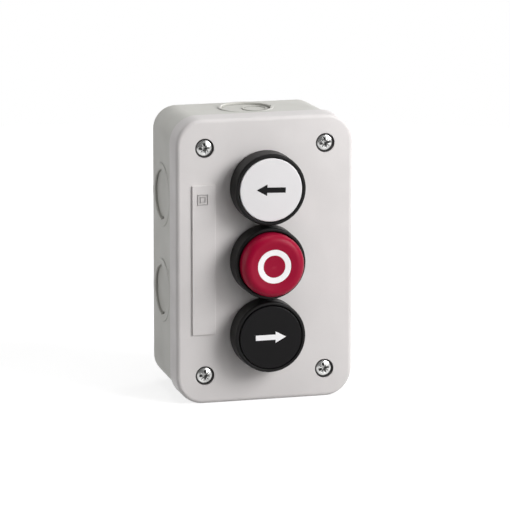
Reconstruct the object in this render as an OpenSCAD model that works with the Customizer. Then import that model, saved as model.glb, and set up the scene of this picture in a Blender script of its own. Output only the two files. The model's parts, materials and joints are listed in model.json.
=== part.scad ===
// Pushbutton control station: a moulded wall box with three spring-return push buttons.
// Lengths are in millimetres. The origin is the centre of the box's back face, +Z is up
// the wall, +X is to the right of someone facing the buttons, and the buttons face -Y.

/* [Box] */
// Width across the cover
body_w = 73; // [70:1:90]
// Height of the cover
body_h = 116; // [114:1:150]
// Depth of the back box, from the wall to the cover's rim
base_depth = 35; // [34:1:60]
// Depth of the cover, from its rim to its front face
cover_depth = 11; // [10:0.5:16]
// Outer radius of the cover's corners
corner_r = 11; // [8:0.5:15]
// Radius rolled round the cover's front edge
front_edge_r = 1.6; // [0.6:0.2:2.4]
// Thickness of the back box's side walls at the rim
wall_t = 3; // [2.6:0.2:4]
// Thickness of the back wall
back_t = 2.5; // [2:0.25:4]
// Thickness of the cover's front panel
panel_t = 3; // [2.4:0.2:4]
// How far the back box lies inside the cover's outline at the rim
rim_step = 1; // [0.6:0.1:1.4]
// Draft of the back box: how far its sides close in towards the wall
draft = 0.6; // [0.2:0.1:1]

/* [Cover screws] */
// Distance of each screw from the cover's outer edges
screw_inset = 11.6; // [11:0.2:13]
// Diameter of the screw's head
screw_head_d = 6.6; // [6:0.2:7.4]
// Height of the screw's domed head
screw_head_h = 2.6; // [2:0.2:3]
// Diameter of the screw's shank
screw_d = 3.9; // [3:0.1:4]
// Length of the shank below the head
screw_len = 18; // [14:1:22]
// Diameter of the round pocket that the head sits in
pocket_d = 7.8; // [7.8:0.2:9]
// Depth of that pocket
pocket_depth = 3.2; // [2.8:0.2:4]
// Radius of the corner pillars that take the screws
pillar_r = 5.6; // [5.4:0.2:6.4]

/* [Seal] */
// Distance from the inside of the wall to the seal's groove
seal_offset = 0.8; // [0.6:0.1:1]
// Width of the seal
seal_w = 1.5; // [1.2:0.1:1.6]
// Depth of the groove that holds it
seal_depth = 1.6; // [1.2:0.1:2]

/* [Wall fixing] */
// Distance between the fixing holes across the box
fixing_w = 52; // [48:1:54]
// Distance between the fixing holes up the box
fixing_h = 72; // [68:1:74]
// Diameter of a fixing hole
fixing_d = 4.5; // [4:0.1:5]
// Diameter of the raised seat round each fixing hole
fixing_seat_d = 8.4; // [7.6:0.2:9]
// Height of that seat above the back wall
fixing_seat_h = 1.5; // [1:0.25:3]

/* [Cable knock-outs] */
// Diameter of the raised rim round a side entry
side_entry_d = 25.8; // [24:0.2:28]
// Diameter of the raised rim round the entry at the top and bottom
end_entry_d = 22.6; // [21.6:0.2:26]
// How far those rims stand out of the wall
entry_rim_h = 0.5; // [0.3:0.1:0.8]
// Diameter of the knock-out inside every rim
entry_d = 20; // [16:0.5:21]
// Distance between the two entries on a side
side_entry_pitch = 39.4; // [38:0.2:42]
// How far the pair lies above the middle of the box
side_entry_rise = 3.2; // [0:0.2:4]
// Height of the side entries above the wall
side_entry_z = 17.2; // [16:0.2:18]
// Height of the end entries above the wall
end_entry_z = 16.2; // [14:0.2:18]
// Depth of the round recess inside each rim
entry_recess = 1; // [0.8:0.1:1.2]
// Thickness of the web that is left to break
entry_web = 0.7; // [0.5:0.1:1]

/* [Rating plate] */
// Width of the bare raised plate
plate_w = 9.4; // [8:0.2:10]
// Height of the plate
plate_h = 60.8; // [50:0.2:64]
// How far it stands out of the cover
plate_t = 0.7; // [0.5:0.1:1.2]
// Distance from the cover's left edge to the plate
plate_inset = 6.4; // [6:0.1:8]

/* [Buttons] */
// Distance between two buttons
button_pitch = 30; // [29.6:0.2:31]
// Travel of a button
travel = 4; // [3:0.5:5]
// Diameter of the bezel where it meets the cover
bezel_base_d = 29.4; // [28:0.1:29.4]
// Diameter of the bezel at its front rim
bezel_front_d = 29; // [28:0.1:29.2]
// Height of the bezel above the cover
bezel_h = 9; // [8.4:0.2:11]
// Diameter of a button's cap
cap_d = 25.6; // [24:0.2:25.6]
// Gap between the cap and the bezel round it
cap_gap = 0.25; // [0.25:0.05:0.5]
// How far a flush cap stands out of the bezel
flush_rise = 0.2; // [0:0.1:0.6]
// How far the stop cap stands out of the bezel
stop_rise = 5.8; // [3:0.2:8]
// Diameter of the neck that passes through the cover
neck_d = 22; // [21:0.1:22.2]
// Clearance all round the neck in its hole
neck_gap = 0.15; // [0.1:0.05:0.3]
// Length of the neck behind the cover's front face
neck_len = 12.5; // [11.5:0.5:13.5]
// Height of the ring nut that clamps the neck
nut_h = 4; // [3:0.5:5]
// Outer diameter of the ring nut
nut_d = 26.8; // [26:0.2:28]
// Thickness of the seal under the bezel
bezel_seal_t = 0.6; // [0.4:0.1:1]
// Width of that seal's ring, which sits round the neck
bezel_seal_w = 2.2; // [1.6:0.2:2.6]

/* [Legends] */
// Length of the arrow on the white button
left_arrow_len = 12; // [9:0.2:14]
// Turn of that arrow, which stands a little off the level
left_arrow_turn = -2; // [-4:0.5:4]
// Length of the arrow on the black button
right_arrow_len = 12.6; // [9:0.2:14]
// Width of an arrow's head
arrow_head_w = 4.7; // [4:0.1:6]
// Length of an arrow's head
arrow_head_len = 4.4; // [3:0.1:6]
// Width of an arrow's shaft
arrow_shaft_w = 2.15; // [1.5:0.05:3]
// Outer diameter of the ring on the stop button
ring_d = 13.7; // [11:0.1:15]
// Width of the ring's line
ring_line = 2.35; // [1.5:0.05:3]
// Depth of the legends in their caps
legend_depth = 0.6; // [0.3:0.1:0.8]

/* [Contact blocks] */
// Length of a block across the box
block_w = 36; // [34:0.5:38]
// Width of a block up the box
block_t = 13; // [12:0.5:14]
// Depth of a block above the back wall
block_h = 22; // [21:0.5:23]
// How far the contact plunger stands out of its block
plunger_out = 4.6; // [4.4:0.1:5.6]
// Width of the contact plunger
plunger_w = 6; // [5:0.2:7]
// Gap between the button's stem and the plunger
push_gap = 0.3; // [0.2:0.05:0.5]
// Gap between open contact tips at full travel, and between closed ones at rest
tip_gap = 0.3; // [0.2:0.05:0.5]
// Diameter of a contact tip
tip_d = 3; // [2:0.2:3.4]

/* [Springs] */
// Wire of a button's return spring
return_wire = 0.9; // [0.6:0.1:1]
// Mean diameter of a button's return spring
return_d = 11.2; // [10:0.2:13]
// Wire of a contact spring
contact_wire = 0.45; // [0.3:0.05:0.5]
// Mean diameter of a contact spring
contact_d = 4.4; // [4:0.1:5]

/* [Hidden] */
$fn = 96;

// Clearances and small constants
cut = 1;                 // how far a cutter runs past the face it opens
fit_gap = 0.05;          // radial clearance of pieces that are assembled and stay still
slide_gap = 0.25;        // clearance of pieces that slide on each other
embed = 0.5;             // how far a joined shape runs into what carries it
seat_gap = 0.1;          // clearance between a stop and what rests against it
hole_gap = 0.3;          // clearance round a screw that passes through

// Depths from the wall, in the frame of the box
body_depth = base_depth + cover_depth;
panel_z = body_depth - panel_t;
screw_seat_z = body_depth - pocket_depth;
screw_tip_z = screw_seat_z - screw_len;
pillar_hole_spare = 1.5; // how far a pillar's hole goes on below the screw's tip
pillar_hole_z = screw_tip_z - pillar_hole_spare;
plunger_top_z = back_t + block_h + plunger_out;

// Outlines of the box
cavity_w = body_w - 2 * (rim_step + wall_t);
cavity_h = body_h - 2 * (rim_step + wall_t);
screw_x = body_w / 2 - screw_inset;
screw_y = body_h / 2 - screw_inset;
draft_angle = atan(draft / base_depth);
back_edge = 0.7;         // chamfer round the box's back edge
side_entry_y = [side_entry_rise - side_entry_pitch / 2, side_entry_rise + side_entry_pitch / 2];
entry_edge = 0.2;        // chamfer on both edges of an entry's rim
entry_line_w = 0.7;      // width of a breaking line behind the wall
lip_gap = 0.3;           // clearance of the cover's lip inside the back box
lip_t = 1.2;             // thickness of that lip
lip_h = 2;               // how far it reaches into the back box
lip_root_h = 2;          // how far it goes on inside the cover
lip_fuse = 0.1;          // how far its root runs into the lip and the cover's wall
rib_t = 1.4;             // thickness of the moulded ribs
base_rib_h = 1.6;        // how far the back box's ribs stand out of its side walls
cover_rib_h = 2.5;       // how far the cover's ribs stand out of its panel
cover_rib_gap = 1.6;     // clearance between a cover rib and the ring nuts
plate_rise = 1;          // how far the middle of the plate lies above the middle of the cover
seal_gap = 0.1;          // clearance of the seal in its groove
collar_drop = 0.5;       // how far a screw's collar lies below the cover's face

// Screws of the contact blocks
block_screw_d = 3;
block_screw_head_d = 5.4;
block_screw_head_h = 1.9;
block_screw_len = 7.3;
block_boss_d = 6.6;
block_boss_h = 4;
block_screw_spare = 0.5; // how far a screw hole goes on past the screw
ear_t = 3;
ear_inset = 3.5;
ear_reach = 3.1;
ear_x = block_w / 2 - ear_inset;
ear_y = block_t / 2 + ear_reach;

// Button heads, measured from the cover's front face
button_y = [button_pitch, 0, -button_pitch];
bezel_floor = bezel_seal_t + 1;
mouth_r = cap_d / 2 + cap_gap;
bore_r = neck_d / 2 - 2;
lip_w = 1.6;             // how far the bezel's floor reaches over the stem's flange
lip_r = bore_r - lip_w;
cap_floor_gap = 0.4;     // what is left between the skirt and the bezel's floor at full travel
skirt_z = bezel_floor + travel + cap_floor_gap;
flush_z = bezel_h + flush_rise;
stop_z = bezel_h + stop_rise;
flange_top = -seat_gap;
flange_t = 2;
flange_r = bore_r - slide_gap;
retainer_t = 1.5;
retainer_z = -neck_len;
rod_r = 2.6;
post_r = 3;
hub_r = 4.8;
cap_wall = 1.6;
cap_face_t = 1.6;
stop_dish = 0.7;
flush_edge_r = 0.4;
stop_edge_r = 3;
ring_gap = 0.02;         // clearance of the ring legend in its groove
post_cover = 0.5;        // what covers the stem's post below a legend
key_w = 2.8;
key_h = 1.1;
key_gap = 0.2;
nut_grips = 12;
stem_end_z = -(body_depth - plunger_top_z - push_gap);

// Contact blocks, measured from the back wall's inner face
roof_t = 2;
chamber_floor = 1.5;
chamber_wall = 2.3;
block_cover_t = 1.4;     // thickness of the cover over the chamber's open side
slot_w = 7.2;            // from the end of the block to the inside of its terminal slot
slot_wall = 0.8;
slot_web = 1.4;          // between the terminal slot and the chamber
slot_x0 = block_w / 2 - slot_w;
chamber_x = slot_x0 - slot_web;
strip_z = 11.2;
strip_t = 1;
strip_w = 5;
strip_gap = 0.1;         // clearance of a contact strip or bridge in its opening
tip_t = 0.6;
tip_inset = 2.6;
tip_x = chamber_x - tip_inset;
terminal_inset = 4;
terminal_x = block_w / 2 - terminal_inset;
clamp_w = 5.6;
clamp_t = 1.2;
clamp_gap = 0.2;
wire_gap = 1.6;
terminal_screw_d = 3;
terminal_head_d = 5.4;
terminal_head_h = 2.2;
bridge_t = 0.8;
bridge_w = 3;
bridge_len = 2 * tip_x + tip_d;
bridge_play = 0.5;       // room for the bridge to tilt in the plunger's window
tip_root = 0.1;          // how far a tip is pressed into what carries it
plunger_foot = 1.2;
// Underside of the bridge: over the strips in an opening contact that closes, under them in one that opens
make_bridge_z = strip_z + strip_t + tip_t + tip_gap + travel + tip_t;
break_bridge_z = strip_z - tip_t - tip_gap - tip_t - bridge_t;
plunger_bottom_z = break_bridge_z - plunger_foot;
plunger_span = block_h + plunger_out - plunger_bottom_z;

// Turns a shape from the frame of the box, where z leaves the wall, to the model's frame
module on_wall() {
    rotate([90, 0, 0]) children();
}

// Places a shape on the cover's front face, on the axis of a button
module at_head(index) {
    on_wall() translate([0, button_y[index], body_depth]) children();
}

// Places a shape on the back wall's inner face, on the axis of a button
module at_block(index) {
    on_wall() translate([0, button_y[index], back_t]) children();
}

// Repeats a shape at the four cover screws
module at_cover_screws() {
    for (side = [0, 1])
        mirror([side, 0, 0])
            for (end = [0, 1])
                mirror([0, end, 0]) translate([screw_x, screw_y, 0]) children();
}

// Slab with round corners: the children are the section of its edge, x outward from
// the centre of a corner and y along the slab's depth
module swept_slab(w, h, r, depth) {
    half_w = w / 2 - r;
    half_h = h / 2 - r;
    translate([-half_w, -half_h, 0]) cube([2 * half_w, 2 * half_h, depth]);
    for (side = [0, 1])
        mirror([side, 0, 0]) {
            translate([half_w, half_h, 0]) rotate([90, 0, 0]) linear_extrude(2 * half_h) children();
            for (end = [0, 1])
                mirror([0, end, 0])
                    translate([half_w, half_h, 0]) rotate_extrude(angle = 90) children();
        }
    for (end = [0, 1])
        mirror([0, end, 0])
            translate([-half_w, half_h, 0]) rotate([90, 0, 90]) linear_extrude(2 * half_w) children();
}

// Inside of the walls and of the corner pillars, moved outward by grow
module cavity_outline(grow) {
    reach = screw_inset;
    r = pillar_r - grow;
    difference() {
        square([cavity_w + 2 * grow, cavity_h + 2 * grow], center = true);
        for (side = [0, 1])
            mirror([side, 0])
                for (end = [0, 1])
                    mirror([0, end])
                        translate([screw_x, screw_y]) {
                            circle(r = r);
                            translate([-r, 0]) square([r + reach, reach]);
                            translate([0, -r]) square([reach, r + reach]);
                        }
    }
}

// Ring of the cavity's outline between two distances from the wall
module cavity_ring(inner, outer) {
    difference() {
        cavity_outline(outer);
        cavity_outline(inner);
    }
}

// Tube with flat ends
module tube(outer_r, inner_r, height) {
    difference() {
        cylinder(r = outer_r, h = height);
        translate([0, 0, -cut]) cylinder(r = inner_r, h = height + 2 * cut);
    }
}

// Section of the back box's edge, with its draft and the chamfer at the wall
module base_edge() {
    rim_r = corner_r - rim_step;
    back_r = rim_r - draft;
    polygon([[0, 0], [back_r - back_edge, 0], [back_r, back_edge], [rim_r, base_depth], [0, base_depth]]);
}

// Section of the cover's edge, rolled over at the front
module cover_edge() {
    square([corner_r - front_edge_r, cover_depth]);
    square([corner_r, cover_depth - front_edge_r]);
    translate([corner_r - front_edge_r, cover_depth - front_edge_r]) circle(r = front_edge_r);
}

// How far the back box's side lies inside the cover's outline at a height above the wall
function side_inset(z) = rim_step + draft * (1 - z / base_depth);

// Frames on the outside of the box's walls, z pointing out of the box
module on_side(y) {
    translate([body_w / 2 - side_inset(side_entry_z), y, side_entry_z])
        rotate([0, 90 - draft_angle, 0]) children();
}
module on_end() {
    translate([0, body_h / 2 - side_inset(end_entry_z), end_entry_z])
        rotate([-90 + draft_angle, 0, 0]) children();
}

// Raised rim round a knock-out, its outer edge chamfered
module entry_rim(outer_d) {
    translate([0, 0, -embed]) cylinder(d = outer_d, h = embed + entry_rim_h - entry_edge);
    translate([0, 0, entry_rim_h - entry_edge])
        cylinder(d1 = outer_d, d2 = outer_d - 2 * entry_edge, h = entry_edge);
}

// Small round lug beside an entry's rim, towards the front and away from the pits
module entry_lug(outer_d) {
    lug_r = 1;
    lug_h = 0.4;
    lug_angle = 135;
    rotate([0, 0, lug_angle])
        translate([outer_d / 2 + lug_r / 2, 0, -embed]) cylinder(r = lug_r, h = embed + lug_h);
}

// What a knock-out takes out of its wall: the recess with its chamfered edge, two starting
// pits, and behind the wall a breaking line for the recess and one for the whole rim
module entry_cut(outer_d, pit_angle) {
    pit_r = 0.8;
    pit_in = 0.2;
    pit_depth = 0.3;
    floor_z = entry_rim_h - entry_recess;
    translate([0, 0, floor_z]) cylinder(d = entry_d, h = entry_recess + cut);
    translate([0, 0, entry_rim_h - entry_edge])
        cylinder(d1 = entry_d, d2 = entry_d + 2 * (entry_edge + cut), h = entry_edge + cut);
    breaking_line(entry_d / 2, floor_z - entry_web);
    breaking_line(outer_d / 2 + entry_line_w, -entry_web);
    for (side = [0, 180])
        rotate([0, 0, pit_angle + side])
            translate([entry_d / 2 - pit_in, 0, floor_z - pit_depth])
                cylinder(r = pit_r, h = entry_recess + pit_depth + cut);
}
module breaking_line(outer_r, top_z) {
    translate([0, 0, -wall_t - cut]) tube(outer_r, outer_r - entry_line_w, cut + wall_t + top_z);
}

// Repeats a shape at the entries of the long sides, and at those of the two ends
module at_side_entries() {
    for (side = [0, 1])
        mirror([side, 0, 0])
            for (y = side_entry_y) on_side(y) children();
}
module at_end_entries() {
    for (end = [0, 1])
        mirror([0, end, 0]) on_end() children();
}

// Back box: drafted shell, corner pillars, knock-outs, wall fixing seats and block bosses
module enclosure_base() {
    gate_ring_r = 5.1;
    gate_ring_w = 0.6;
    gate_ring_h = 0.3;
    gate_ring_x = 3.6;
    color("gainsboro") on_wall() {
        difference() {
            union() {
                swept_slab(body_w - 2 * rim_step, body_h - 2 * rim_step, corner_r - rim_step, base_depth)
                    base_edge();
                at_side_entries() {
                    entry_rim(side_entry_d);
                    entry_lug(side_entry_d);
                }
                at_end_entries() entry_rim(end_entry_d);
            }
            translate([0, 0, back_t]) linear_extrude(base_depth) cavity_outline(0);
            at_cover_screws()
                translate([0, 0, pillar_hole_z]) cylinder(d = screw_d + 2 * fit_gap, h = base_depth);
            for (x = [-1, 1])
                for (y = [-1, 1])
                    translate([x * fixing_w / 2, y * fixing_h / 2, -cut])
                        cylinder(d = fixing_d, h = back_t + 2 * cut);
            block_screw_holes(back_t + block_boss_h);
            at_side_entries() entry_cut(side_entry_d, 90);
            at_end_entries() entry_cut(end_entry_d, 0);
        }
        for (x = [-1, 1])
            for (y = [-1, 1])
                translate([x * fixing_w / 2, y * fixing_h / 2, back_t - embed])
                    tube(fixing_seat_d / 2, fixing_d / 2, fixing_seat_h + embed);
        block_bosses();
        side_wall_ribs();
        at_end_entries()
            translate([gate_ring_x, 0, entry_rim_h - entry_recess - embed])
                tube(gate_ring_r, gate_ring_r - gate_ring_w, gate_ring_h + embed);
    }
}

// Ribs up the inside of the long walls, above, between and below the side entries
module side_wall_ribs() {
    reach = side_entry_d / 2 + entry_line_w + rib_t;
    rib_top = base_depth - lip_h - 2 * lip_gap;
    for (side = [0, 1])
        mirror([side, 0, 0])
            for (y = [side_entry_y[0] - reach, side_entry_rise, side_entry_y[1] + reach])
                translate([cavity_w / 2 - base_rib_h, y - rib_t / 2, back_t - embed])
                    cube([base_rib_h + embed, rib_t, rib_top - back_t + embed]);
}

// Repeats a shape at the two screws of each contact block
module at_block_screws() {
    for (y = button_y)
        for (end = [0, 180])
            translate([0, y, 0]) rotate([0, 0, end]) translate([ear_x, ear_y, 0]) children();
}
module block_screw_holes(top_z) {
    at_block_screws()
        translate([0, 0, top_z + ear_t - block_screw_len - block_screw_spare])
            cylinder(d = block_screw_d + 2 * fit_gap, h = block_screw_len + 2 * block_screw_spare);
}
module block_bosses() {
    difference() {
        at_block_screws()
            translate([0, 0, back_t - embed]) cylinder(d = block_boss_d, h = block_boss_h + embed);
        block_screw_holes(back_t + block_boss_h);
    }
}

// Cover: front panel with three button holes, sunk screws, seal groove and lip
module enclosure_cover() {
    rib_x = nut_d / 2 + cover_rib_gap;
    color("whitesmoke") on_wall() {
        difference() {
            translate([0, 0, base_depth]) swept_slab(body_w, body_h, corner_r, cover_depth) cover_edge();
            translate([0, 0, base_depth - cut]) linear_extrude(panel_z - base_depth + cut) cavity_outline(0);
            translate([0, 0, base_depth - cut])
                linear_extrude(seal_depth + cut)
                    cavity_ring(seal_offset, seal_offset + seal_w + 2 * seal_gap);
            at_cover_screws() {
                translate([0, 0, screw_seat_z]) cylinder(d = pocket_d, h = pocket_depth + cut);
                translate([0, 0, base_depth - cut]) cylinder(d = screw_d + 2 * hole_gap, h = body_depth);
            }
            for (y = button_y)
                translate([0, y, panel_z - cut]) {
                    cylinder(d = neck_d + 2 * neck_gap, h = panel_t + 2 * cut);
                    key_slot(panel_t + 2 * cut);
                }
        }
        translate([-body_w / 2 + plate_inset, plate_rise - plate_h / 2, body_depth - embed])
            cube([plate_w, plate_h, plate_t + embed]);
        for (side = [0, 1])
            mirror([side, 0, 0])
                translate([rib_x, -button_pitch - nut_d / 2, panel_z - cover_rib_h])
                    cube([rib_t, 2 * button_pitch + nut_d, cover_rib_h + embed]);
        difference() {
            translate([0, 0, base_depth - lip_h]) linear_extrude(lip_h + lip_root_h) cavity_outline(-lip_gap);
            translate([0, 0, base_depth - lip_h - cut])
                linear_extrude(lip_h + lip_root_h + 2 * cut) cavity_outline(-lip_gap - lip_t);
        }
        translate([0, 0, base_depth]) linear_extrude(lip_root_h) cavity_ring(-lip_gap - lip_fuse, lip_fuse);
    }
}

// Rubber seal that fills the cover's groove and rests on the back box's rim
module cover_seal() {
    color("dimgray") on_wall()
        translate([0, 0, base_depth])
            linear_extrude(seal_depth) cavity_ring(seal_offset + seal_gap, seal_offset + seal_gap + seal_w);
}

// Round head with a domed top, its underside at z = 0
module domed_head(d, height, flat) {
    dome = height - flat;
    dome_r = (d * d / 4 + dome * dome) / (2 * dome);
    rotate_extrude()
        intersection() {
            square([d / 2, height]);
            translate([0, height - dome_r]) circle(r = dome_r, $fn = 180);
        }
}

// Cover screw: pan head with a cross recess, four fine marks between its arms, and a pointed shank
module cover_screw() {
    rim_h = 1.7;
    recess_turn = 20;
    slot_w = 1.15;
    slot_len = 4.3;
    slot_floor = 0.6;
    slot_depth = screw_head_h - slot_floor;
    mark_w = 0.3;
    mark_len = 5.6;
    mark_depth = 0.45;
    socket_depth = 2.2;
    point = 1.5;
    difference() {
        domed_head(screw_head_d, screw_head_h, rim_h);
        for (turn = [0, 90])
            rotate([0, 0, turn + recess_turn])
                translate([-slot_len / 2, -slot_w / 2, screw_head_h - slot_depth])
                    cube([slot_len, slot_w, slot_depth + cut]);
        for (turn = [45, 135])
            rotate([0, 0, turn + recess_turn])
                translate([-mark_len / 2, -mark_w / 2, screw_head_h - mark_depth])
                    cube([mark_len, mark_w, mark_depth + cut]);
        translate([0, 0, screw_head_h - socket_depth]) cylinder(r1 = 0.4, r2 = 1.2, h = socket_depth + embed);
    }
    translate([0, 0, point - screw_len]) cylinder(d = screw_d, h = screw_len - point + embed);
    translate([0, 0, -screw_len]) cylinder(d1 = screw_d / 2, d2 = screw_d, h = point);
}
module cover_screws() {
    color("silver") on_wall() at_cover_screws() translate([0, 0, screw_seat_z]) cover_screw();
}

// Rubber collars that close the gap between the screws' heads and their pockets
module screw_seals() {
    color("black") on_wall()
        at_cover_screws()
            translate([0, 0, screw_seat_z])
                tube(pocket_d / 2 - fit_gap, screw_head_d / 2 + fit_gap, pocket_depth - collar_drop);
}

// Slotted screw with a domed head, its underside at z = 0
module slotted_screw(d, len, head_d, head_h) {
    slot_w = 0.8;
    slot_depth = 0.9;
    difference() {
        domed_head(head_d, head_h, head_h / 2);
        translate([-head_d / 2 - cut, -slot_w / 2, head_h - slot_depth])
            cube([head_d + 2 * cut, slot_w, slot_depth + cut]);
    }
    translate([0, 0, -len]) cylinder(d = d, h = len + embed);
}
module block_screws() {
    color("silver") on_wall()
        at_block_screws()
            translate([0, 0, back_t + block_boss_h + ear_t])
                slotted_screw(block_screw_d, block_screw_len, block_screw_head_d, block_screw_head_h);
}

// Bezel: collar round the cap, and the neck that holds the stem
module bezel(index) {
    base_r = bezel_base_d / 2;
    front_r = bezel_front_d / 2;
    rim_r = (front_r - mouth_r) / 2;
    mouth_edge = 0.3;
    color([0.13, 0.13, 0.13]) at_head(index) {
        rotate_extrude() {
            polygon([
                [bore_r, -neck_len], [neck_d / 2, -neck_len], [neck_d / 2, bezel_seal_t],
                [base_r, bezel_seal_t], [front_r, bezel_h - rim_r], [front_r - rim_r, bezel_h - rim_r],
                [front_r - rim_r, bezel_h], [mouth_r + mouth_edge, bezel_h], [mouth_r, bezel_h - mouth_edge],
                [mouth_r, bezel_floor], [lip_r, bezel_floor], [lip_r, 0], [bore_r, 0]
            ]);
            translate([front_r - rim_r, bezel_h - rim_r]) circle(r = rim_r);
        }
        translate([-key_w / 2, neck_d / 2 - embed, -panel_t + key_gap])
            cube([key_w, key_h + embed, panel_t - key_gap + bezel_seal_t + embed]);
    }
}

// Slot that the bezel's key passes through, from z = 0 up
module key_slot(height) {
    translate([-key_w / 2 - key_gap, 0, 0]) cube([key_w + 2 * key_gap, neck_d / 2 + key_h + key_gap, height]);
}

// Flat seal between the bezel and the cover, notched for the bezel's key
module bezel_seal(index) {
    inner_r = neck_d / 2 + neck_gap;
    color("black") at_head(index)
        difference() {
            tube(inner_r + bezel_seal_w, inner_r, bezel_seal_t);
            translate([0, 0, -cut]) key_slot(bezel_seal_t + 2 * cut);
        }
}

// Ring nut behind the cover's panel, with notches for a key
module fixing_nut(index) {
    notch_r = 1.3;
    notch_out = 0.5;
    color("dimgray") at_head(index) translate([0, 0, -panel_t - nut_h])
        difference() {
            tube(nut_d / 2, neck_d / 2 + fit_gap, nut_h);
            for (k = [0:nut_grips - 1])
                rotate([0, 0, (k + 0.5) * 360 / nut_grips])
                    translate([nut_d / 2 + notch_out, 0, -cut]) cylinder(r = notch_r, h = nut_h + 2 * cut);
        }
}

// Ring that closes the back of the neck and carries the return spring
module spring_retainer(index) {
    color("dimgray") at_head(index) translate([0, 0, retainer_z])
        tube(bore_r - fit_gap, rod_r + slide_gap, retainer_t);
}

// Radius of the ball that dishes a cap's face and runs smoothly into its rounded edge
function dish_r(edge_r, depth) = (pow(cap_d / 2 - edge_r, 2) + depth * depth) / (2 * depth) - edge_r;

// Section of that ball
module dish_section(face_z, edge_r, depth) {
    r = dish_r(edge_r, depth);
    translate([0, face_z - depth + r]) circle(r = r, $fn = 2000);
}

// Rectangle between two corners of a section
module square_from(x0, y0, x1, y1) {
    translate([x0, y0]) square([x1 - x0, y1 - y0]);
}

// Top of the stem's post inside the cap, below its face and legend
function post_top(face_z, dish) = face_z - dish - legend_depth - post_cover;

// Push button cap: skirt, rounded edge, face and the hub that holds the stem
module cap_shell(face_z, edge_r, dish) {
    under_z = face_z - dish - cap_face_t;
    r = cap_d / 2;
    crest_r = dish > 0 ? (r - edge_r) * dish_r(edge_r, dish) / (dish_r(edge_r, dish) + edge_r) : r - edge_r;
    rotate_extrude()
        difference() {
            union() {
                square_from(0, skirt_z, crest_r, face_z);
                square_from(0, skirt_z, r, face_z - edge_r);
                translate([r - edge_r, face_z - edge_r]) circle(r = edge_r);
            }
            if (dish > 0) dish_section(face_z, edge_r, dish);
            square_from(hub_r, skirt_z - cut, r - cap_wall, under_z);
            square_from(-cut, skirt_z - cut, post_r + fit_gap, post_top(face_z, dish));
        }
}

// Arrow that points to -x, as long as len
module arrow_outline(len) {
    tip = -len / 2;
    head = tip + arrow_head_len;
    polygon([
        [tip, 0], [head, arrow_head_w / 2], [head, arrow_shaft_w / 2], [len / 2, arrow_shaft_w / 2],
        [len / 2, -arrow_shaft_w / 2], [head, -arrow_shaft_w / 2], [head, -arrow_head_w / 2]
    ]);
}

// Flush cap with a flat face and the pocket of its arrow
module flush_cap(index, tint, len, turn) {
    color(tint) at_head(index)
        difference() {
            cap_shell(flush_z, flush_edge_r, 0);
            arrow_block(len, turn, legend_depth + cut);
        }
}

// Arrow set in a flush cap, from the floor of its pocket up
module arrow_block(len, turn, height) {
    rotate([0, 0, turn]) translate([0, 0, flush_z - legend_depth]) linear_extrude(height) arrow_outline(len);
}
module arrow_legend(index, tint, len, turn) {
    color(tint) at_head(index) arrow_block(len, turn, legend_depth);
}

// Projecting stop cap with a dished face and the groove of its ring
module stop_cap() {
    color([0.62, 0.08, 0.16]) at_head(1)
        difference() {
            cap_shell(stop_z, stop_edge_r, stop_dish);
            rotate_extrude() ring_section(ring_gap);
        }
}

// Section of the ring legend, with a gap on both sides
module ring_section(gap) {
    floor_z = stop_z - stop_dish - legend_depth;
    square_from(ring_d / 2 - ring_line - gap, floor_z, ring_d / 2 + gap, stop_z + cut);
}
module stop_ring() {
    color("white") at_head(1)
        rotate_extrude()
            difference() {
                ring_section(0);
                dish_section(stop_z, stop_edge_r, stop_dish);
            }
}

// Stem: post in the cap's hub, flange that guides it in the neck, and the rod to the contact
module stem(index, face_z, dish) {
    color("dimgray") at_head(index) {
        translate([0, 0, flange_top - flange_t])
            cylinder(r = post_r, h = post_top(face_z, dish) - flange_top + flange_t);
        translate([0, 0, flange_top - flange_t]) cylinder(r = flange_r, h = flange_t);
        translate([0, 0, stem_end_z]) cylinder(r = rod_r, h = flange_top - flange_t - stem_end_z + embed);
    }
}

// Coil spring from z = 0 to height, its end turns closed
module coil(mean_r, wire, height, turns) {
    sides = 6;
    per_turn = 16;
    steps = turns * per_turn;
    lead = height - wire;
    end_share = 0.75 / turns;
    function rise(t) =
        t < end_share ? 0
        : t > 1 - end_share ? 1
        : (t - end_share) / (1 - 2 * end_share);
    function closed(t) = wire * 0.9 * (min(t, end_share) + max(t - 1 + end_share, 0)) / end_share;
    function height_at(t) = closed(t) + rise(t) * (lead - 2 * wire * 0.9);
    points = [
        for (i = [0:steps])
            for (j = [0:sides - 1])
                let (a = 360 * turns * i / steps, b = 360 * j / sides, r = mean_r + wire / 2 * cos(b))
                    [r * cos(a), r * sin(a), wire / 2 + height_at(i / steps) + wire / 2 * sin(b)]
    ];
    walls = [
        for (i = [0:steps - 1])
            for (j = [0:sides - 1])
                let (k = (j + 1) % sides, p = i * sides, q = p + sides)
                    each [[p + j, q + j, q + k], [p + j, q + k, p + k]]
    ];
    caps = [
        [for (j = [0:sides - 1]) j],
        [for (j = [sides - 1:-1:0]) steps * sides + j]
    ];
    polyhedron(points, concat(walls, caps));
}
module return_spring(index) {
    bottom = retainer_z + retainer_t + fit_gap;
    top = flange_top - flange_t - fit_gap;
    color("silver") at_head(index)
        translate([0, 0, bottom]) coil(return_d / 2, return_wire, top - bottom, 5);
}
module contact_spring(index) {
    bottom = chamber_floor + fit_gap;
    top = plunger_bottom_z - fit_gap;
    color("silver") at_block(index)
        translate([0, 0, bottom]) coil(contact_d / 2, contact_wire, top - bottom, 4);
}

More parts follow.
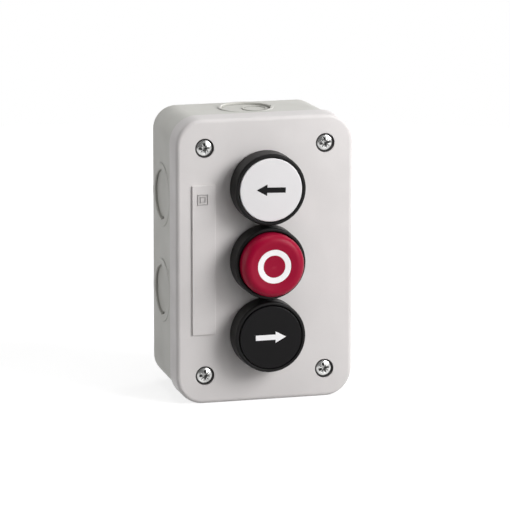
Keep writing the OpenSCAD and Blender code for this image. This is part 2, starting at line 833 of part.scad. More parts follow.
// Contact block's housing: chamber for the bridge, a terminal slot at each end, two ears
module contact_block(index) {
    slot_z = strip_z - 3;
    slot_t = block_t - 2 * chamber_wall;
    wire_mouth_h = 4.5;
    window = plunger_w / 2 + slide_gap;
    color("ivory") at_block(index) {
        difference() {
            translate([-block_w / 2, -block_t / 2, 0]) cube([block_w, block_t, block_h]);
            translate([-chamber_x, -block_t / 2 - cut, chamber_floor])
                cube([2 * chamber_x, block_t - chamber_wall + cut, block_h - roof_t - chamber_floor]);
            translate([-window, -window, block_h - roof_t - cut])
                cube([2 * window, 2 * window, roof_t + 2 * cut]);
            for (side = [0, 1])
                mirror([side, 0, 0]) {
                    translate([slot_x0, -slot_t / 2, slot_z])
                        cube([block_w / 2 - slot_wall - slot_x0, slot_t, block_h]);
                    translate([chamber_x - cut, -strip_w / 2 - strip_gap, strip_z - strip_gap])
                        cube([slot_web + 2 * cut, strip_w + 2 * strip_gap, strip_t + 2 * strip_gap]);
                    translate([block_w / 2 - slot_wall - cut, -strip_w / 2, strip_z + strip_t])
                        cube([slot_wall + 2 * cut, strip_w, wire_mouth_h]);
                }
        }
        for (end = [0, 180])
            rotate([0, 0, end])
                difference() {
                    union() {
                        translate([ear_x - block_boss_d / 2, block_t / 2 - embed, block_boss_h])
                            cube([block_boss_d, ear_reach + embed, ear_t]);
                        translate([ear_x, ear_y, block_boss_h]) cylinder(d = block_boss_d, h = ear_t);
                    }
                    translate([ear_x, ear_y, 0])
                        cylinder(d = block_screw_d + 2 * hole_gap, h = block_boss_h + ear_t + cut);
                }
    }
}

// Cover that snaps into the open side of a block's chamber, with a groove to lift it by
module block_cover(index) {
    cover_w = 2 * (chamber_x - fit_gap);
    cover_h = block_h - roof_t - chamber_floor - 2 * fit_gap;
    grip_w = 6;
    grip_h = 1.2;
    color("ivory") at_block(index)
        translate([0, -block_t / 2, chamber_floor + fit_gap])
            difference() {
                translate([-cover_w / 2, 0, 0]) cube([cover_w, block_cover_t, cover_h]);
                translate([-grip_w / 2, -cut, cover_h / 2])
                    cube([grip_w, block_cover_t / 2 + cut, grip_h]);
            }
}

// Height of the bridge's underside above the back wall's inner face
function bridge_z(closes) = closes ? make_bridge_z : break_bridge_z;

// Plunger that carries the bridge through its window
module contact_plunger(index, closes, tint) {
    window_h = bridge_t + bridge_play;
    color(tint) at_block(index)
        difference() {
            translate([-plunger_w / 2, -plunger_w / 2, plunger_bottom_z])
                cube([plunger_w, plunger_w, plunger_span]);
            translate([-plunger_w / 2 - cut, -bridge_w / 2 - strip_gap, bridge_z(closes)])
                cube([plunger_w + 2 * cut, bridge_w + 2 * strip_gap, window_h]);
        }
}

// Moving bridge with a round tip at each end, facing the fixed contacts
module contact_bridge(index, closes) {
    tip_from = closes ? -tip_t : bridge_t - tip_root;
    color("goldenrod") at_block(index) translate([0, 0, bridge_z(closes)]) {
        translate([-bridge_len / 2, -bridge_w / 2, 0]) cube([bridge_len, bridge_w, bridge_t]);
        for (x = [-tip_x, tip_x])
            translate([x, 0, tip_from]) cylinder(d = tip_d, h = tip_t + tip_root);
    }
}

// The two fixed contacts: strip from the tip in the chamber to its terminal
module fixed_contacts(index, closes) {
    strip_x0 = tip_x - tip_d / 2;
    strip_x1 = block_w / 2 - slot_wall - 2 * strip_gap;
    tip_z = closes ? strip_z + strip_t - tip_root : strip_z - tip_t;
    color("goldenrod") at_block(index)
        for (side = [0, 1])
            mirror([side, 0, 0]) {
                difference() {
                    translate([strip_x0, -strip_w / 2, strip_z])
                        cube([strip_x1 - strip_x0, strip_w, strip_t]);
                    translate([terminal_x, 0, strip_z - cut])
                        cylinder(d = terminal_screw_d + 2 * fit_gap, h = strip_t + 2 * cut);
                }
                translate([tip_x, 0, tip_z]) cylinder(d = tip_d, h = tip_t + tip_root);
            }
}

// Square washers that clamp the wires on the fixed contacts
module wire_clamps(index) {
    color("silver") at_block(index)
        for (x = [-terminal_x, terminal_x])
            translate([x, 0, strip_z + strip_t + wire_gap])
                difference() {
                    translate([-clamp_w / 2, -clamp_w / 2, 0]) cube([clamp_w, clamp_w, clamp_t]);
                    translate([0, 0, -cut])
                        cylinder(d = terminal_screw_d + 2 * clamp_gap, h = clamp_t + 2 * cut);
                }
}
module terminal_screws(index) {
    screw_past = 1.5;
    seat_z = strip_z + strip_t + wire_gap + clamp_t;
    screw_len = seat_z - strip_z + screw_past;
    color("silver") at_block(index)
        for (x = [-terminal_x, terminal_x])
            translate([x, 0, seat_z])
                slotted_screw(terminal_screw_d, screw_len, terminal_head_d, terminal_head_h);
}

enclosure_base();
enclosure_cover();
cover_seal();
cover_screws();
screw_seals();
block_screws();

bezel(0);  // left_bezel
bezel_seal(0);  // left_bezel_seal
fixing_nut(0);  // left_fixing_nut
spring_retainer(0);  // left_spring_retainer
flush_cap(0, "white", left_arrow_len, left_arrow_turn);  // left_cap
arrow_legend(0, "black", left_arrow_len, left_arrow_turn);  // left_arrow
stem(0, flush_z, 0);  // left_stem
return_spring(0);  // left_return_spring
contact_block(0);  // left_contact_block
block_cover(0);  // left_block_cover
contact_plunger(0, true, "seagreen");  // left_contact_plunger
contact_bridge(0, true);  // left_contact_bridge
contact_spring(0);  // left_contact_spring
fixed_contacts(0, true);  // left_fixed_contacts
wire_clamps(0);  // left_wire_clamps
terminal_screws(0);  // left_terminal_screws

bezel(1);  // stop_bezel
bezel_seal(1);  // stop_bezel_seal
fixing_nut(1);  // stop_fixing_nut
spring_retainer(1);  // stop_spring_retainer
stop_cap();
stop_ring();
stem(1, stop_z, stop_dish);  // stop_stem
return_spring(1);  // stop_return_spring
contact_block(1);  // stop_contact_block
block_cover(1);  // stop_block_cover
contact_plunger(1, false, "firebrick");  // stop_contact_plunger
contact_bridge(1, false);  // stop_contact_bridge
contact_spring(1);  // stop_contact_spring
fixed_contacts(1, false);  // stop_fixed_contacts
wire_clamps(1);  // stop_wire_clamps
terminal_screws(1);  // stop_terminal_screws

bezel(2);  // right_bezel
bezel_seal(2);  // right_bezel_seal
fixing_nut(2);  // right_fixing_nut
spring_retainer(2);  // right_spring_retainer
flush_cap(2, [0.13, 0.13, 0.13], right_arrow_len, 180);  // right_cap
arrow_legend(2, "white", right_arrow_len, 180);  // right_arrow
stem(2, flush_z, 0);  // right_stem
return_spring(2);  // right_return_spring
contact_block(2);  // right_contact_block
block_cover(2);  // right_block_cover
contact_plunger(2, true, "seagreen");  // right_contact_plunger
contact_bridge(2, true);  // right_contact_bridge
contact_spring(2);  // right_contact_spring
fixed_contacts(2, true);  // right_fixed_contacts
wire_clamps(2);  // right_wire_clamps
terminal_screws(2);  // right_terminal_screws
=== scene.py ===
"""Looks of the pushbutton control station: finishes, springs, screws, plate mark, floor, light, camera."""

import json
import math

import bmesh
import bpy
from mathutils import Matrix, Vector


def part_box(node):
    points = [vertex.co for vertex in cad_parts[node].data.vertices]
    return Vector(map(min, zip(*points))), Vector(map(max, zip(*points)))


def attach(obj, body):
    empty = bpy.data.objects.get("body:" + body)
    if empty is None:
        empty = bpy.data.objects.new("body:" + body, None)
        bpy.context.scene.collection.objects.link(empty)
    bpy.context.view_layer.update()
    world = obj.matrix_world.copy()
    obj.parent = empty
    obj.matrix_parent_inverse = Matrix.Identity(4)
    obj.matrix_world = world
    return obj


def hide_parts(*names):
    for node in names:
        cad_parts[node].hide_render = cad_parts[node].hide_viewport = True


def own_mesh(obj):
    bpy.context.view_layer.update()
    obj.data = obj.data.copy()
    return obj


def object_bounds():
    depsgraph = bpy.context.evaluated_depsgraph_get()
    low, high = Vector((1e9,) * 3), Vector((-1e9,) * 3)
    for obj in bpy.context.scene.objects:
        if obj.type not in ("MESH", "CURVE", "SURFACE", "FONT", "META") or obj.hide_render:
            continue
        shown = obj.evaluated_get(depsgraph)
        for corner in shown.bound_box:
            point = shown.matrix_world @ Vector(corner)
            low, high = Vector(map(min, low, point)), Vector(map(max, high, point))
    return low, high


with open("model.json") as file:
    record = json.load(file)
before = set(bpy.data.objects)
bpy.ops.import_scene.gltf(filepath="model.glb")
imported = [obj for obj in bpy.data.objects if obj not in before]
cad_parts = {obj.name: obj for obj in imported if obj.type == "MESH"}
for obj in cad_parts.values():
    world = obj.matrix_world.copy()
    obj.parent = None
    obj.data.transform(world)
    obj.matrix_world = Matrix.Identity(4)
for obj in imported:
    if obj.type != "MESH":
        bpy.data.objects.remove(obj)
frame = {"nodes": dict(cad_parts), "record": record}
cad_low, cad_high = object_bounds()

BUTTONS = ("left", "stop", "right")
MM = 0.001
CORNERS = ((-1, -1), (1, -1), (1, 1), (-1, 1))

# Camera: where it stands round the box, in degrees and metres, and how it is framed
IMAGE_SIZE = 510
SENSOR_MM = 36
FOCAL_PX = 3887.5
CAMERA_AZIMUTH = -15.21
CAMERA_ELEVATION = 11.976
CAMERA_ROLL = -0.048
CAMERA_DISTANCE = 1.5812
CAMERA_REACH = 20
CAMERA_TARGET = Vector((0.0021, -0.0230, -0.0030))

# Lamps: square soft boxes at one distance from the camera's target, each with its azimuth and
# elevation in degrees and its power in watts
LAMP_DISTANCE = 0.60
LAMP_SIZE = 0.30
LAMPS = {
    "key_light": (45, 26, 2.95),
    "front_fill": (30, 10, 0.74),
    "left_fill": (-84, 12, 0.72),
    "top_light": (0, 80, 1.00),
    "back_light": (180, 60, 0.27),
    "rear_fill": (130, 25, 0.90),
}

# Surroundings: the faint even light all round, and the dim room in front that shows in
# reflections and turns into the white backdrop between two values of the direction's Y
STUDIO_LEVEL = 0.01
ROOM_LEVEL = 0.25
ROOM_END = -0.05
BACKDROP_START = 0.25

# Floor: its size, the share of light that its paper returns, and its own glow at the box's foot,
# which rises to white further out
FLOOR_RADIUS = 0.60
FLOOR_SIDES = 96
PAPER_LEVEL = 0.42
FLOOR_GLOW = 0.80
GLOW_START = 0.10
GLOW_END = 0.85 * FLOOR_RADIUS

# Springs: wire radius and number of turns
RETURN_WIRE_R = 0.45 * MM
RETURN_TURNS = 5
CONTACT_WIRE_R = 0.225 * MM
CONTACT_TURNS = 4

# Plate on the cover: how far it lies from the cover's left edge, how far its middle lies above
# the cover's, and its height
PLATE_INSET = 6.4 * MM
PLATE_RISE = 1.0 * MM
PLATE_H = 60.8 * MM

# Mark on the plate: its centre from the plate's top left corner, its squares' sizes, and the
# width and height of their lines
MARK_RIGHT = 4.3 * MM
MARK_DOWN = 5.6 * MM
MARK_SQUARES = (4.4 * MM, 2.4 * MM)
MARK_LINE = 0.42 * MM
MARK_RISE = 0.32 * MM

# Cover screws: how far their axes lie from the box's middle, their length under the head, and how
# far each is turned, in degrees, by its side and its end of the box
SCREW_ACROSS = 24.9 * MM
SCREW_UP = 46.4 * MM
SCREW_LENGTH = 18 * MM
SCREW_POINT = 1.5 * MM
SCREW_SHANK_R = 1.95 * MM
SCREW_HEAD_R = 3.3 * MM
SCREW_TURNS = {(-1, 1): 2, (1, 1): 8, (-1, -1): -2, (1, -1): 15}


def linear(level):
    """Linear value of an 8-bit screen level."""
    share = level / 255
    return share / 12.92 if share <= 0.04045 else ((share + 0.055) / 1.055) ** 2.4


def colour(red, green, blue):
    """Linear colour of an 8-bit screen colour."""
    return (linear(red), linear(green), linear(blue), 1)


def shade(tint, factor):
    """The same colour, lighter or darker."""
    return tuple(min(level * factor, 1) for level in tint[:3]) + (1,)


def direction(azimuth, elevation):
    """Unit vector away from the box, round it from the front and up, in degrees."""
    turn, rise = math.radians(azimuth), math.radians(elevation)
    return Vector((math.sin(turn) * math.cos(rise), -math.cos(turn) * math.cos(rise), math.sin(rise)))


class Nodes:
    """Node tree, with short ways to add and join its nodes."""

    def __init__(self, tree):
        self.tree = tree

    def feed(self, socket, value):
        """Gives an input a value or another node's output."""
        if isinstance(value, bpy.types.NodeSocket):
            self.tree.links.new(value, socket)
        else:
            socket.default_value = value

    def add(self, kind, inputs=None, **settings):
        """Adds a node; its inputs are given by name or by number."""
        node = self.tree.nodes.new(kind)
        for name, value in settings.items():
            setattr(node, name, value)
        for name, value in (inputs or {}).items():
            self.feed(node.inputs[name], value)
        return node

    def math(self, operation, first, second=0.0):
        """Result of a Math node."""
        return self.add("ShaderNodeMath", {0: first, 1: second}, operation=operation).outputs[0]

    def spread(self, value, low, high, to_low=0.0, to_high=1.0):
        """Maps low..high of a value to another range, and keeps it there."""
        inputs = {"Value": value, "From Min": low, "From Max": high, "To Min": to_low, "To Max": to_high}
        return self.add("ShaderNodeMapRange", inputs).outputs["Result"]

    def seen(self):
        """1 for what the camera sees, straight or in a reflection or through glass."""
        path = self.add("ShaderNodeLightPath")
        either = path.outputs["Is Camera Ray"]
        for kind in ("Is Glossy Ray", "Is Transmission Ray"):
            either = self.math("MAXIMUM", either, path.outputs[kind])
        return either

    def surface(self, share, first, second, output):
        """Ends the tree in a mix of two shaders."""
        inputs = {0: share, 1: first.outputs[0], 2: second.outputs[0]}
        mix = self.add("ShaderNodeMixShader", inputs)
        self.add(output, {"Surface": mix.outputs[0]})


class Look(Nodes):
    """Node tree of one material: a Principled shader and the textures that feed it."""

    def __init__(self, name):
        self.material = bpy.data.materials.new(name)
        self.material.use_nodes = True
        super().__init__(self.material.node_tree)
        self.shader = self.tree.nodes["Principled BSDF"]
        self.place = self.add("ShaderNodeTexCoord").outputs["Object"]
        self.normal = None

    def set(self, name, value):
        """Gives an input of the Principled shader a value or an output."""
        self.feed(self.shader.inputs[name], value)

    def noise(self, size, detail=2.0, stretch=(1, 1, 1), turn=(0, 0, 0)):
        """Soft noise from 0 to 1 with features of that size in metres."""
        inputs = {"Vector": self.place, "Rotation": turn, "Scale": stretch}
        mapping = self.add("ShaderNodeMapping", inputs)
        inputs = {"Vector": mapping.outputs["Vector"], "Scale": 1 / size, "Detail": detail}
        return self.add("ShaderNodeTexNoise", inputs).outputs["Fac"]

    def mix(self, share, first, second):
        """Colour between two colours."""
        inputs = {0: share, 6: first, 7: second}
        return self.add("ShaderNodeMix", inputs, data_type="RGBA").outputs[2]

    def soften(self, radius):
        """Rounds sharp edges in the shading and returns a mask of those edges."""
        bevel = self.add("ShaderNodeBevel", {"Radius": radius}, samples=4)
        self.normal = bevel.outputs["Normal"]
        face = self.add("ShaderNodeNewGeometry").outputs["Normal"]
        turn = self.add("ShaderNodeVectorMath", {0: self.normal, 1: face}, operation="DOT_PRODUCT")
        return self.spread(turn.outputs["Value"], 0.99, 0.80)

    def crevices(self, reach, low, high):
        """0 in corners narrower than reach, 1 on open faces."""
        open_sky = self.add("ShaderNodeAmbientOcclusion", {"Distance": reach}, samples=6)
        return self.spread(open_sky.outputs["AO"], low, high)

    def bump(self, height, depth):
        """Adds relief of that depth in metres."""
        inputs = {"Height": height, "Distance": depth, "Strength": 1.0}
        if self.normal is not None:
            inputs["Normal"] = self.normal
        self.normal = self.add("ShaderNodeBump", inputs).outputs["Normal"]

    def done(self):
        """The material, with its relief joined to the shader."""
        if self.normal is not None:
            self.set("Normal", self.normal)
        return self.material


def moulding(
    name, tint, roughness, grain, depth, specular=0.4, mottle=0.03, edge_wear_and_highlight=1.04, specks=0.18, dirt_and_corner_shade=1.0
):
    """Injection-moulded plastic, from its colour and gloss, the size and depth of its grain, and
    the strength of its cloudiness, specks, edges lightened by wear and by painted highlights, and
    corners darkened by painted shade with some dirt."""
    look = Look(name)
    edges = look.soften(0.25 * MM)
    clouds = look.noise(22 * MM, detail=3.0)
    flow = look.noise(7 * MM, detail=2.0, stretch=(1.0, 1.0, 0.35))
    speck = look.noise(0.5 * MM, detail=1.0)
    tone = look.mix(look.spread(clouds, 0.35, 0.65), shade(tint, 1 - mottle), shade(tint, 1 + mottle))
    tone = look.mix(look.spread(flow, 0.55, 0.75, 0.0, 0.25), tone, shade(tint, 1 - 2 * mottle))
    tone = look.mix(look.spread(speck, 0.62, 0.75, 0.0, specks), tone, shade(tint, 0.80))
    # Edges lightened: some wear, and on the housing and cover painted highlights along the rims
    tone = look.mix(look.math("MULTIPLY", edges, 0.5), tone, shade(tint, edge_wear_and_highlight))
    # Corners and recesses darkened by an occlusion mask: painted shade where light is blocked, with a
    # little dirt
    if dirt_and_corner_shade < 1.0:
        tone = look.mix(look.crevices(1.0 * MM, 0.50, 0.95), shade(tint, dirt_and_corner_shade), tone)
    look.set("Base Color", tone)
    gloss = look.noise(9 * MM, detail=4.0)
    gloss = look.spread(gloss, 0.3, 0.7, roughness - 0.05, roughness + 0.06)
    look.set("Roughness", look.math("SUBTRACT", gloss, look.math("MULTIPLY", edges, 0.08)))
    look.set("Specular IOR Level", specular)
    look.bump(look.noise(grain, detail=2.0), depth)
    scratch = look.noise(1.2 * MM, detail=1.0, stretch=(0.05, 1.0, 1.6), turn=(0.3, 0.5, 0.9))
    look.bump(look.spread(scratch, 0.70, 0.74), -0.004 * MM)
    return look.done()


def rubber(name, tint):
    """Soft sealing rubber with a dull bloom."""
    look = Look(name)
    bloom = look.noise(3 * MM, detail=4.0)
    look.set("Base Color", look.mix(look.spread(bloom, 0.4, 0.7), tint, shade(tint, 1.5)))
    look.set("Roughness", look.spread(bloom, 0.3, 0.7, 0.68, 0.86))
    look.set("Specular IOR Level", 0.3)
    look.bump(look.noise(0.2 * MM, detail=3.0), 0.02 * MM)
    return look.done()


def metal(name, tint, roughness, streak=(1, 1, 1), stain=0.8, dirt_and_corner_shade=0.25):
    """Plated or bare metal: fine streaks, cloudy plating, brighter edges, and crevices darkened by painted
    shade with a little dirt.
    """
    look = Look(name)
    edges = look.soften(0.12 * MM)
    clouds = look.noise(1.6 * MM, detail=5.0)
    fine = look.noise(0.12 * MM, detail=3.0, stretch=streak)
    tone = look.mix(look.spread(clouds, 0.35, 0.7), shade(tint, stain), tint)
    tone = look.mix(look.math("MULTIPLY", edges, 0.6), tone, shade(tint, 1.15))
    # Crevices darkened by an occlusion mask: painted shade in the recesses, with a little dirt
    tone = look.mix(look.crevices(1.5 * MM, 0.35, 0.80), shade(tint, dirt_and_corner_shade), tone)
    look.set("Base Color", tone)
    look.set("Metallic", 1.0)
    look.set("Roughness", look.spread(fine, 0.3, 0.7, roughness - 0.07, roughness + 0.10))
    look.bump(fine, 0.006 * MM)
    return look.done()


MATERIALS = {
    # Housing: its rims lightened as painted highlights, partly wear, and its corners darkened as painted
    # shade with some dirt
    "housing_grey": moulding(
        "housing_grey", colour(209, 208, 202), 0.44, 0.34 * MM, 0.010 * MM,
        specular=0.32, edge_wear_and_highlight=1.30, dirt_and_corner_shade=0.60,
    ),
    # Cover: its edges lightened as painted highlights along the rims and plate, partly wear
    "cover_grey": moulding(
        "cover_grey", colour(221, 217, 216), 0.40, 0.34 * MM, 0.008 * MM, edge_wear_and_highlight=1.25,
    ),
    "bezel_black": moulding(
        "bezel_black", colour(20, 19, 19), 0.40, 0.22 * MM, 0.006 * MM,
        specular=0.15, mottle=0.08, edge_wear_and_highlight=1.2,
    ),
    "nut_black": moulding(
        "nut_black", colour(44, 44, 45), 0.46, 0.30 * MM, 0.010 * MM, mottle=0.08, edge_wear_and_highlight=1.6,
    ),
    "cap_white": moulding(
        "cap_white", colour(230, 228, 229), 0.32, 0.60 * MM, 0.0015 * MM,
        mottle=0.004, edge_wear_and_highlight=1.02, specks=0.04,
    ),
    "cap_red": moulding(
        "cap_red", colour(156, 6, 48), 0.36, 0.60 * MM, 0.003 * MM, specular=0.16, edge_wear_and_highlight=1.0,
    ),
    "cap_black": moulding(
        "cap_black", colour(17, 16, 17), 0.36, 0.60 * MM, 0.003 * MM,
        specular=0.12, mottle=0.06, edge_wear_and_highlight=1.2,
    ),
    "legend_black": moulding(
        "legend_black", colour(16, 15, 16), 0.40, 0.50 * MM, 0.003 * MM,
        specular=0.12, mottle=0.05, edge_wear_and_highlight=1.2,
    ),
    "legend_white": moulding(
        "legend_white", colour(255, 253, 254), 0.34, 0.50 * MM, 0.0015 * MM,
        mottle=0.002, edge_wear_and_highlight=1.0, specks=0.03,
    ),
    "block_ivory": moulding(
        "block_ivory", colour(226, 220, 198), 0.42, 0.30 * MM, 0.008 * MM,
    ),
    "plunger_red": moulding(
        "plunger_red", colour(176, 34, 34), 0.40, 0.30 * MM, 0.006 * MM, mottle=0.05, edge_wear_and_highlight=1.1,
    ),
    "plunger_green": moulding(
        "plunger_green", colour(42, 128, 74), 0.40, 0.30 * MM, 0.006 * MM, mottle=0.05, edge_wear_and_highlight=1.1,
    ),
    "seal_rubber": rubber("seal_rubber", colour(54, 52, 52)),
    # Screws: their cross recesses and rims darkened as painted shade, with a little dirt
    "zinc_plate": metal("zinc_plate", (0.70, 0.70, 0.69, 1), 0.22, stain=0.62, dirt_and_corner_shade=0.34),
    "spring_steel": metal("spring_steel", (0.62, 0.61, 0.60, 1), 0.24, streak=(1.0, 0.3, 1.0)),
    "contact_brass": metal(
        "contact_brass", (0.79, 0.60, 0.30, 1), 0.28, streak=(0.2, 1.0, 1.0), stain=0.85,
    ),
}

# The cover's plastic made darker for the fine lines of the mark: painted shade of their relief
MARK_GREY = moulding(
    "mark_grey", colour(190, 187, 186), 0.44, 0.34 * MM, 0.008 * MM, specular=0.3, edge_wear_and_highlight=1.06
)


def dress_nodes():
    """Gives each CAD node the material of its slot in the record."""
    for part in frame["record"]["subparts"]:
        mesh = frame["nodes"][part["node"]].data
        mesh.materials.clear()
        mesh.materials.append(MATERIALS[part["material_slot"]])
        mesh.polygons.foreach_set("material_index", [0] * len(mesh.polygons))


def put(name, data):
    """Puts an object into the scene."""
    thing = bpy.data.objects.new(name, data)
    bpy.context.scene.collection.objects.link(thing)
    return thing


def as_mesh(name, mesh):
    """Mesh data of a bmesh, which is freed."""
    data = bpy.data.meshes.new(name)
    mesh.to_mesh(data)
    mesh.free()
    return data


def new_piece(name, mesh, body, slot, material=None):
    """Piece that rides on a body and takes a slot's finish, or a finish of its own."""
    mesh.materials.append(material or MATERIALS[slot])
    piece = put(name, mesh)
    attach(piece, body)
    return piece


def bridge(mesh, first, second):
    """Faces between two rings of as many points."""
    for side in range(len(first)):
        after = (side + 1) % len(first)
        mesh.faces.new((first[side], second[side], second[after], first[after]))


def coil_mesh(name, centre, base_y, top_y, mean_r, wire_r, turns):
    """Coil spring along Y with closed end turns, between two planes."""
    sides, steps = 12, 32 * turns
    closed_turns = 0.75
    closed = closed_turns / turns
    end_rise = 1.8 * wire_r
    lead = abs(top_y - base_y) - 2 * wire_r - 2 * end_rise
    sense = math.copysign(1, top_y - base_y)
    mesh = bmesh.new()
    rings = []
    for step in range(steps + 1):
        share = step / steps
        ends = (min(share, closed) + max(share - 1 + closed, 0)) / closed
        middle = min(max((share - closed) / (1 - 2 * closed), 0), 1)
        along = base_y + sense * (wire_r + end_rise * ends + lead * middle)
        angle = math.tau * turns * share
        outward = Vector((math.cos(angle), 0, math.sin(angle)))
        wire_centre = Vector((centre.x, along, centre.z)) + outward * mean_r
        ring = []
        for side in range(sides):
            turn = math.tau * side / sides
            offset = outward * math.cos(turn) + Vector((0, sense, 0)) * math.sin(turn)
            ring.append(mesh.verts.new(wire_centre + offset * wire_r))
        rings.append(ring)
    for first, second in zip(rings, rings[1:]):
        bridge(mesh, first, second)
    mesh.faces.new(rings[0])
    mesh.faces.new(reversed(rings[-1]))
    bmesh.ops.recalc_face_normals(mesh, faces=mesh.faces)
    for face in mesh.faces:
        face.smooth = len(face.verts) == 4
    return as_mesh(name, mesh)


def spring(node, wire_r, turns):
    """Round-wire spring in place of a CAD node, riding on the enclosure."""
    low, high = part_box(node)
    centre = (low + high) / 2
    mean_r = (high.x - low.x) / 2 - wire_r
    mesh = coil_mesh(node + "_wire", centre, high.y, low.y, mean_r, wire_r, turns)
    piece = new_piece(node + "_wire", mesh, "enclosure", "spring_steel")
    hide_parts(node)
    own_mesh(piece)


def square_ring(mesh, centre_x, centre_z, face_y, size):
    """Raised square outline with sloping sides on a face that looks to -Y."""
    slope = 0.15 * MARK_RISE
    outer, inner = size / 2, size / 2 - MARK_LINE
    levels = ((outer, 0), (outer - slope, MARK_RISE), (inner + slope, MARK_RISE), (inner, 0))
    rings = []
    for half, height in levels:
        y = face_y - height
        rings.append([mesh.verts.new((centre_x + half * x, y, centre_z + half * z)) for x, z in CORNERS])
    for index, ring in enumerate(rings):
        bridge(mesh, ring, rings[(index + 1) % len(rings)])


def plate_mark():
    """Two nested squares moulded on the raised plate, near its top."""
    low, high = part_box("enclosure_cover")
    centre_x = low.x + PLATE_INSET + MARK_RIGHT
    centre_z = (low.z + high.z) / 2 + PLATE_RISE + PLATE_H / 2 - MARK_DOWN
    mesh = bmesh.new()
    for size in MARK_SQUARES:
        square_ring(mesh, centre_x, centre_z, low.y, size)
    bmesh.ops.recalc_face_normals(mesh, faces=mesh.faces)
    new_piece("plate_mark", as_mesh("plate_mark", mesh), "enclosure", "cover_grey", MARK_GREY)


def lathe(profile, sides):
    """Closed mesh turned round Z from (radius, height) points that start and end on the axis."""
    mesh = bmesh.new()
    first = mesh.verts.new((0, 0, profile[0][1]))
    last = mesh.verts.new((0, 0, profile[-1][1]))
    angles = [math.tau * side / sides for side in range(sides)]
    rings = []
    for radius, height in profile[1:-1]:
        rings.append([mesh.verts.new((radius * math.cos(a), radius * math.sin(a), height)) for a in angles])
    for side in range(sides):
        after = (side + 1) % sides
        mesh.faces.new((first, rings[0][side], rings[0][after]))
        mesh.faces.new((last, rings[-1][after], rings[-1][side]))
    for ring, following in zip(rings, rings[1:]):
        bridge(mesh, ring, following)
    bmesh.ops.recalc_face_normals(mesh, faces=mesh.faces)
    return mesh


def wedge(top, bottom, high, low, turn):
    """Block turned round Z whose (length, width) shrinks from its top to its bottom."""
    mesh = bmesh.new()
    rings = []
    for (length, width), height in ((top, high), (bottom, low)):
        rings.append([mesh.verts.new((x * length / 2, y * width / 2, height)) for x, y in CORNERS])
        mesh.faces.new(rings[-1])
    bridge(mesh, *rings)
    bmesh.ops.recalc_face_normals(mesh, faces=mesh.faces)
    turned = Matrix.Rotation(math.radians(turn), 3, "Z")
    bmesh.ops.rotate(mesh, verts=mesh.verts, cent=(0, 0, 0), matrix=turned)
    return mesh


def cut_away(body_mesh, cutters):
    """Mesh of a body with the cutters taken out of it."""
    body = put("uncut", as_mesh("uncut", body_mesh))
    tools = [put("cutter", as_mesh("cutter", cutter)) for cutter in cutters]
    for tool in tools:
        cut = body.modifiers.new("cut", "BOOLEAN")
        cut.operation = "DIFFERENCE"
        cut.solver = "EXACT"
        cut.object = tool
    bpy.context.view_layer.update()
    result = bpy.data.meshes.new_from_object(body.evaluated_get(bpy.context.evaluated_depsgraph_get()))
    for thing in (body, *tools):
        data = thing.data
        bpy.data.objects.remove(thing)
        bpy.data.meshes.remove(data)
    return result


def screw_mesh():
    """Screw along Z, its head's underside at 0: dome, rolled rim, cross recess and four fine marks."""
    rim_h, dome_h, roll = 2.45 * MM, 0.72 * MM, 0.16 * MM
    dome_steps, head_sides = 12, 72
    top = rim_h + dome_h
    dome_r = (SCREW_HEAD_R ** 2 + dome_h ** 2) / (2 * dome_h)
    profile = [(0, top)]
    for step in range(1, dome_steps + 1):
        radius = (SCREW_HEAD_R - roll) * step / dome_steps
        profile.append((radius, top - dome_r + math.sqrt(dome_r ** 2 - radius ** 2)))
    profile += [(SCREW_HEAD_R - 0.35 * roll, rim_h - 0.15 * roll), (SCREW_HEAD_R, rim_h - 1.1 * roll)]
    profile += [(SCREW_HEAD_R, 0), (SCREW_SHANK_R, 0), (SCREW_SHANK_R, SCREW_POINT - SCREW_LENGTH)]
    profile += [(SCREW_SHANK_R / 2, -SCREW_LENGTH), (0, -SCREW_LENGTH)]
    above = top + 0.5 * MM
    arm_top, arm_floor, arm_depth = (6.3 * MM, 1.30 * MM), (1.6 * MM, 0.55 * MM), 1.9 * MM
    mark_top, mark_floor, mark_depth = (6.6 * MM, 0.55 * MM), (3.0 * MM, 0.12 * MM), 0.8 * MM
    pit_depth, pit_sides = 2.0 * MM, 24
    pit = [(0, above), (1.15 * MM, above), (0.55 * MM, top - pit_depth), (0, top - pit_depth - 0.1 * MM)]
    cutters = [wedge(arm_top, arm_floor, above, top - arm_depth, turn) for turn in (0, 90)]
    cutters += [wedge(mark_top, mark_floor, above, top - mark_depth, turn) for turn in (45, 135)]
    cutters.append(lathe(pit, pit_sides))
    return cut_away(lathe(profile, head_sides), cutters)


def cover_screws():
    """The four cover screws, each turned as it was left when the cover was closed."""
    sharp = math.radians(24)
    seat_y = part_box("cover_screws")[1].y - SCREW_LENGTH
    pattern = screw_mesh()
    outward = Matrix.Rotation(math.radians(90), 4, "X")
    mesh = bmesh.new()
    for (side, end), turn in SCREW_TURNS.items():
        place = Matrix.Translation((side * SCREW_ACROSS, seat_y, end * SCREW_UP))
        screw = pattern.copy()
        screw.transform(place @ outward @ Matrix.Rotation(math.radians(turn), 4, "Z"))
        mesh.from_mesh(screw)
        bpy.data.meshes.remove(screw)
    bpy.data.meshes.remove(pattern)
    for face in mesh.faces:
        face.smooth = True
    for edge in mesh.edges:
        edge.smooth = edge.calc_face_angle(math.pi) < sharp
    name = "cover_screws_cut"
    piece = new_piece(name, as_mesh(name, mesh), "enclosure", "zinc_plate")
    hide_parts("cover_screws")


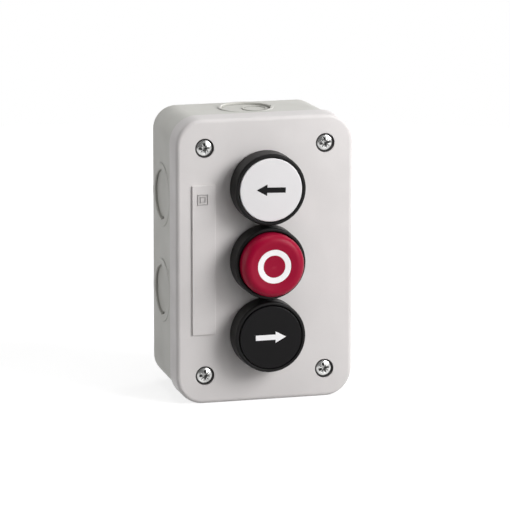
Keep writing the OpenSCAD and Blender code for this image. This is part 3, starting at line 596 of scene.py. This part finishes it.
def light_scene():
    """Key light from the right front, and weaker lamps all round."""
    for name, (azimuth, elevation, power) in LAMPS.items():
        data = bpy.data.lights.new(name, "AREA")
        data.shape = "SQUARE"
        data.size = LAMP_SIZE
        data.energy = power
        lamp = put(name, data)
        outward = direction(azimuth, elevation)
        lamp.location = CAMERA_TARGET + outward * LAMP_DISTANCE
        lamp.rotation_mode = "QUATERNION"
        lamp.rotation_quaternion = outward.to_track_quat("Z", "Y")


def light_world():
    """White backdrop, a dim room in front that shows in reflections, and a faint even light."""
    world = bpy.data.worlds.new("studio")
    bpy.context.scene.world = world
    world.use_nodes = True
    nodes = Nodes(world.node_tree)
    nodes.tree.nodes.clear()
    path = nodes.add("ShaderNodeLightPath")
    place = nodes.add("ShaderNodeTexCoord")
    axes = nodes.add("ShaderNodeSeparateXYZ", {0: place.outputs["Generated"]})
    room = nodes.spread(axes.outputs["Y"], ROOM_END, BACKDROP_START, ROOM_LEVEL, 1.0)
    level = nodes.math("MAXIMUM", path.outputs["Is Camera Ray"], room)
    backdrop = nodes.add("ShaderNodeBackground", {"Color": (1, 1, 1, 1), "Strength": level})
    studio = nodes.add("ShaderNodeBackground", {"Color": (1, 1, 1, 1), "Strength": STUDIO_LEVEL})
    nodes.surface(nodes.seen(), studio, backdrop, "ShaderNodeOutputWorld")


def lay_floor():
    """Pale floor under the box: it looks white, and still takes the box's shadow."""
    mesh = bmesh.new()
    bmesh.ops.create_circle(mesh, cap_ends=True, radius=FLOOR_RADIUS, segments=FLOOR_SIDES)
    floor = put("floor", as_mesh("floor", mesh))
    floor.location.z = cad_low.z
    material = bpy.data.materials.new("floor")
    material.use_nodes = True
    nodes = Nodes(material.node_tree)
    nodes.tree.nodes.clear()
    place = nodes.add("ShaderNodeTexCoord")
    reach = nodes.add("ShaderNodeVectorMath", {0: place.outputs["Object"]}, operation="LENGTH")
    level = nodes.spread(reach.outputs["Value"], GLOW_START, GLOW_END, FLOOR_GLOW, 1.0)
    paper = nodes.add("ShaderNodeBsdfDiffuse", {"Color": (PAPER_LEVEL, PAPER_LEVEL, PAPER_LEVEL, 1)})
    glow = nodes.add("ShaderNodeEmission", {"Strength": level})
    both = nodes.add("ShaderNodeAddShader", {0: paper.outputs[0], 1: glow.outputs[0]})
    nodes.surface(nodes.seen(), paper, both, "ShaderNodeOutputMaterial")
    floor.data.materials.append(material)


def place_camera():
    """Long lens from the upper left, as the object is seen."""
    data = bpy.data.cameras.new("camera")
    data.sensor_width = SENSOR_MM
    data.lens = FOCAL_PX / IMAGE_SIZE * SENSOR_MM
    data.clip_end = CAMERA_REACH
    camera = put("camera", data)
    turn, roll = math.radians(CAMERA_AZIMUTH), math.radians(CAMERA_ROLL)
    back = direction(CAMERA_AZIMUTH, CAMERA_ELEVATION)
    right = Vector((math.cos(turn), math.sin(turn), 0))
    up = back.cross(right)
    rolled_right = right * math.cos(roll) - up * math.sin(roll)
    rolled_up = right * math.sin(roll) + up * math.cos(roll)
    turned = Matrix((rolled_right, rolled_up, back)).transposed()
    camera.matrix_world = Matrix.Translation(CAMERA_TARGET + back * CAMERA_DISTANCE) @ turned.to_4x4()
    bpy.context.scene.camera = camera


place_camera()
dress_nodes()
for button in BUTTONS:
    spring(button + "_return_spring", RETURN_WIRE_R, RETURN_TURNS)
    spring(button + "_contact_spring", CONTACT_WIRE_R, CONTACT_TURNS)
plate_mark()
cover_screws()
lay_floor()
light_scene()
light_world()
bpy.context.scene.view_settings.view_transform = "Standard"
